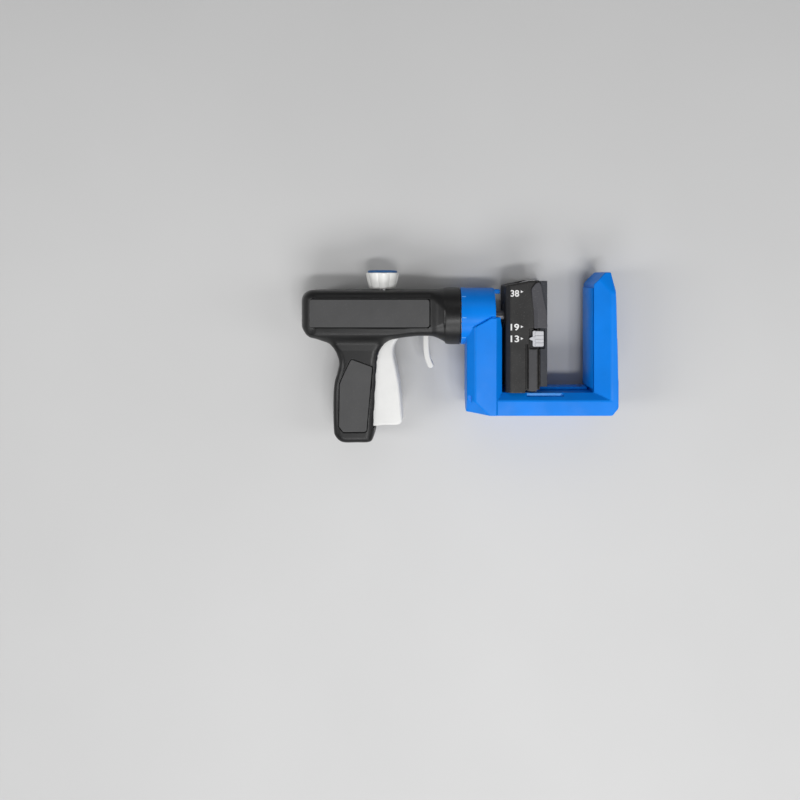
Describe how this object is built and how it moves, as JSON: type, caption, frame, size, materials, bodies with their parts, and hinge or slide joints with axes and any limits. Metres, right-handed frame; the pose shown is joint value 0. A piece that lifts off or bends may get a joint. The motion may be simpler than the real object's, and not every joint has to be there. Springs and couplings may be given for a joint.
{
  "type": "dowel joiner",
  "caption": "Hand clamp joiner: pistol-grip ratchet clamp with a turning C-frame and a sliding block that guides an angled drill into a clamped board edge.",
  "frame": {"origin": "middle of the bounding box's bottom: the tool lies on its left side", "axes": "+X along the ram towards the anvil, +Y from the grip up to the force knob, +Z out of the right side, up as it lies"},
  "size_m": [0.293, 0.1628, 0.054],
  "materials": {
    "housing": "fine moulded texture",
    "rubber": "matte, finely grained",
    "blue_plastic": "satin moulded",
    "white_plastic": "satin moulded",
    "knob_satin": "satin light",
    "guide_plastic": "matte, lightly dusted",
    "bright_steel": "ground",
    "spring_steel": "drawn wire",
    "dark_steel": "blackened",
    "bronze": "sintered",
    "acetal": "natural moulded"
  },
  "bodies": {
    "handle": {"housing_right": "housing", "housing_left": "housing", "barrel_panel_right": "rubber", "barrel_panel_left": "rubber", "grip_panel_right": "rubber", "grip_panel_left": "rubber", "housing_screw_1": "bright_steel", "housing_screw_2": "bright_steel", "housing_screw_3": "bright_steel", "housing_screw_4": "bright_steel", "housing_screw_5": "bright_steel", "housing_screw_6": "bright_steel", "nose_spigot": "acetal", "retaining_ring": "dark_steel", "front_bush": "bronze", "rear_bush": "bronze", "detent_ball": "bright_steel", "detent_spring": "spring_steel", "lever_pin": "bright_steel", "trigger_pin": "bright_steel", "force_shoe": "acetal", "force_spring": "spring_steel", "drive_spring": "spring_steel", "brake_spring": "spring_steel", "lever_spring": "spring_steel"},
    "head": {"c_frame": "blue_plastic", "hub_bush": "acetal", "index_plate": "dark_steel", "frame_rail": "blue_plastic", "rail_screw_1": "dark_steel", "rail_screw_2": "dark_steel", "anvil_pad": "blue_plastic"},
    "ram": {"ram_rod": "dark_steel", "ram_tip": "dark_steel", "ram_collar": "dark_steel"},
    "carriage": {"guide_block": "guide_plastic", "face_pad_right": "rubber", "face_pad_left": "rubber", "rail_shoe": "acetal", "ram_keeper": "dark_steel", "slide_detent_ball": "bright_steel", "slide_detent_spring": "spring_steel"},
    "guide": {"guide_slide": "guide_plastic", "drill_bush_1": "bright_steel", "drill_bush_2": "bright_steel", "thickness_slider": "white_plastic", "guide_cover": "guide_plastic"},
    "lever": {"squeeze_lever": "white_plastic"},
    "drive": {"drive_plate": "dark_steel"},
    "brake": {"brake_plate": "dark_steel"},
    "trigger": {"release_trigger": "white_plastic"},
    "knob": {"force_knob": "knob_satin", "knob_cap": "blue_plastic", "force_screw": "bright_steel"},
    "nut": {"force_nut": "bronze"}
  },
  "joints": [
    {"name": "head_turn", "type": "hinge", "parent": "handle", "child": "head", "pos_m": [0.0185, 0.0379, 0.027], "axis": [1, 0, 0], "continuous": true},
    {"name": "ram_slide", "type": "slide", "parent": "handle", "child": "ram", "axis": [1, 0, 0], "range_m": [0, 0.032]},
    {"name": "carriage_slide", "type": "slide", "parent": "head", "child": "carriage", "axis": [1, 0, 0], "range_m": [0, 0.032]},
    {"name": "guide_shift", "type": "slide", "parent": "carriage", "child": "guide", "axis": [0, 1, 0], "range_m": [0, 0.0424]},
    {"name": "lever_squeeze", "type": "hinge", "parent": "handle", "child": "lever", "pos_m": [-0.0545, 0.0279, 0.027], "axis": [0, 0, -1], "range_deg": [0, 15], "stiffness_Nm_per_rad": 1, "springref_deg": -17.19, "deforming": ["lever_spring"]},
    {"name": "drive_push", "type": "slide", "parent": "handle", "child": "drive", "axis": [1, 0, 0], "range_m": [0, 0.00395], "deforming": ["drive_spring"]},
    {"name": "trigger_pull", "type": "hinge", "parent": "handle", "child": "trigger", "pos_m": [-0.029, 0.0239, 0.027], "axis": [0, 0, -1], "range_deg": [0, 12], "stiffness_Nm_per_rad": 0.3, "springref_deg": -17.19},
    {"name": "brake_tilt", "type": "hinge", "parent": "handle", "child": "brake", "pos_m": [-0.0265, 0.0519, 0.027], "axis": [0, 0, 1], "range_deg": [0, 3], "deforming": ["brake_spring"]},
    {"name": "force_turn", "type": "hinge", "parent": "handle", "child": "knob", "pos_m": [-0.0705, 0.0679, 0.027], "axis": [0, 1, 0], "range_deg": [-540, 540]},
    {"name": "nut_travel", "type": "slide", "parent": "handle", "child": "nut", "axis": [0, 1, 0], "range_m": [-0.0019, 0.0019], "deforming": ["force_spring"]}
  ],
  "couplings": [
    {"joint": "carriage_slide", "follows": "ram_slide", "ratio": 1},
    {"joint": "drive_push", "follows": "lever_squeeze", "m_per_rad": 0.0149},
    {"joint": "brake_tilt", "follows": "trigger_pull", "ratio": 0.25},
    {"joint": "nut_travel", "follows": "force_turn", "m_per_rad": -0.00019894}
  ]
}
